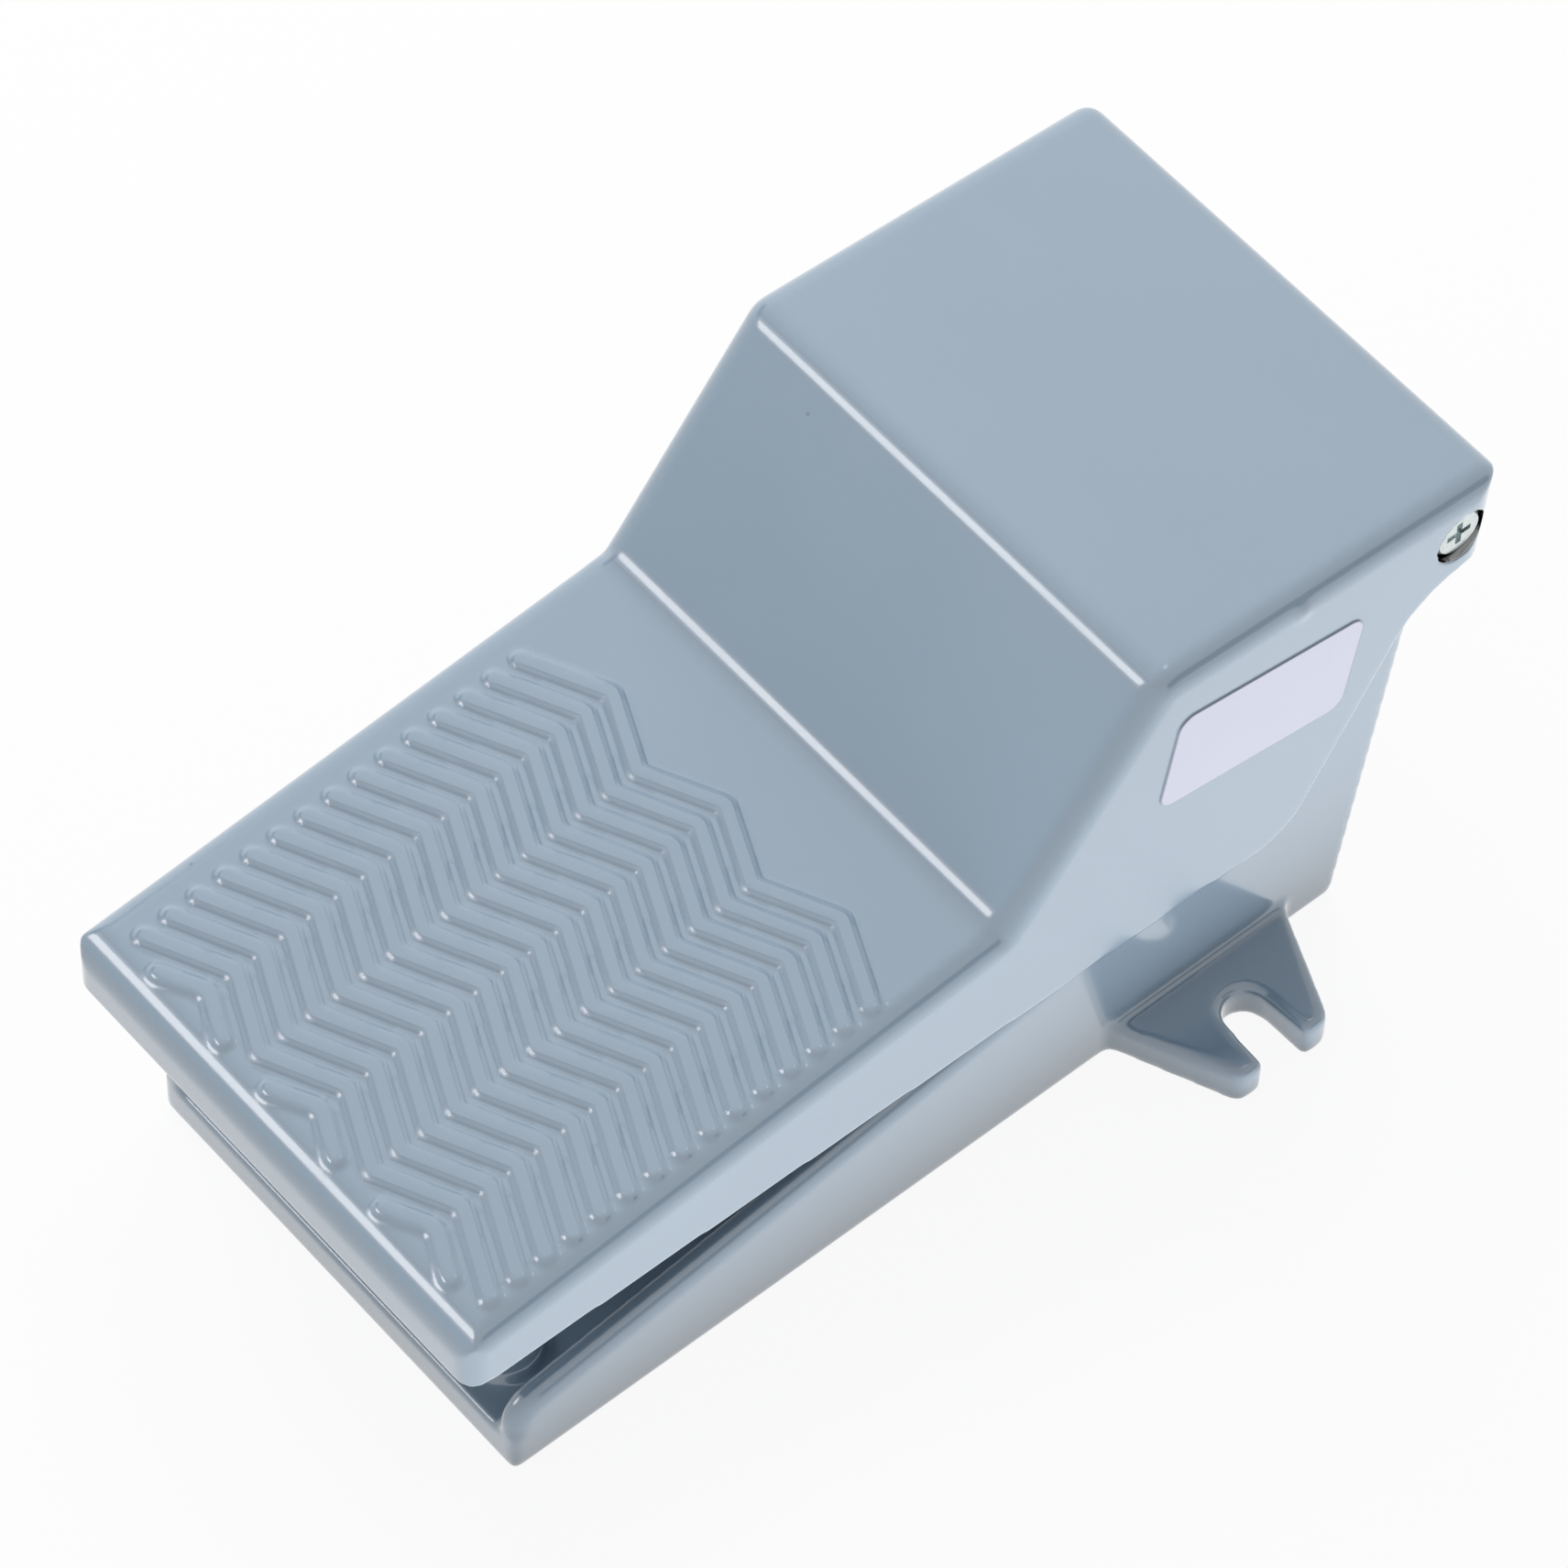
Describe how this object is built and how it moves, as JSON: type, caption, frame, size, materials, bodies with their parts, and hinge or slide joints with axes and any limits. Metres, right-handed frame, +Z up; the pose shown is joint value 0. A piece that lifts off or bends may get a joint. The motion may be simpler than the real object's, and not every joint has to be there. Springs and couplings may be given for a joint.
{
  "type": "foot pedal air valve",
  "caption": "Foot-operated spool valve: a hinged ribbed treadle on a cast base pushes a spring-return spool to switch compressed air.",
  "frame": {"origin": "on the floor under the middle of the whole part's box", "axes": "+X to the side with the label, +Y from the toe to the heel of the treadle, +Z up"},
  "size_m": [0.134, 0.2113, 0.1058],
  "materials": {
    "paint": "glossy blue-grey enamel",
    "zinc": "zinc plated",
    "bronze": "sintered bronze",
    "valve_aluminium": "satin anodised",
    "cover_black": "moulded",
    "seal_rubber": "matt",
    "spring_steel": "drawn wire",
    "ground_steel": "ground",
    "nylon": "natural nylon",
    "label": "satin film, blank"
  },
  "bodies": {
    "root": {"base": "paint", "pivot_screw_left": "zinc", "pivot_screw_right": "zinc", "pivot_washers": "zinc", "upper_cover_screws": "zinc", "lower_cover_screws": "zinc", "valve_screws": "zinc", "valve_washers": "zinc", "valve_body": "valve_aluminium", "upper_cover": "cover_black", "lower_cover": "cover_black", "upper_gasket": "seal_rubber", "lower_gasket": "seal_rubber", "wiper_seal": "seal_rubber", "spool_spring": "spring_steel", "pedal_spring": "spring_steel"},
    "treadle": {"pedal": "paint", "pivot_bush_left": "bronze", "pivot_bush_right": "bronze", "striker_screw": "zinc", "striker_nut": "zinc", "side_label": "label"},
    "spool": {"spool": "valve_aluminium", "spool_seals": "seal_rubber", "plunger": "ground_steel", "plunger_button": "nylon"}
  },
  "joints": [
    {"name": "treadle_press", "type": "hinge", "parent": "root", "child": "treadle", "pos_m": [0, 0.0962, 0.0908], "axis": [1, 0, 0], "range_deg": [0, 5.5], "stiffness_Nm_per_rad": 12, "springref_deg": -8.59, "deforming": ["pedal_spring"]},
    {"name": "spool_slide", "type": "slide", "parent": "root", "child": "spool", "axis": [0, 0, -1], "range_m": [0, 0.0034], "stiffness_N_per_m": 2000, "springref_m": -0.004, "deforming": ["spool_spring"]}
  ],
  "couplings": [
    {"joint": "spool_slide", "follows": "treadle_press", "m_per_rad": 0.0342}
  ]
}
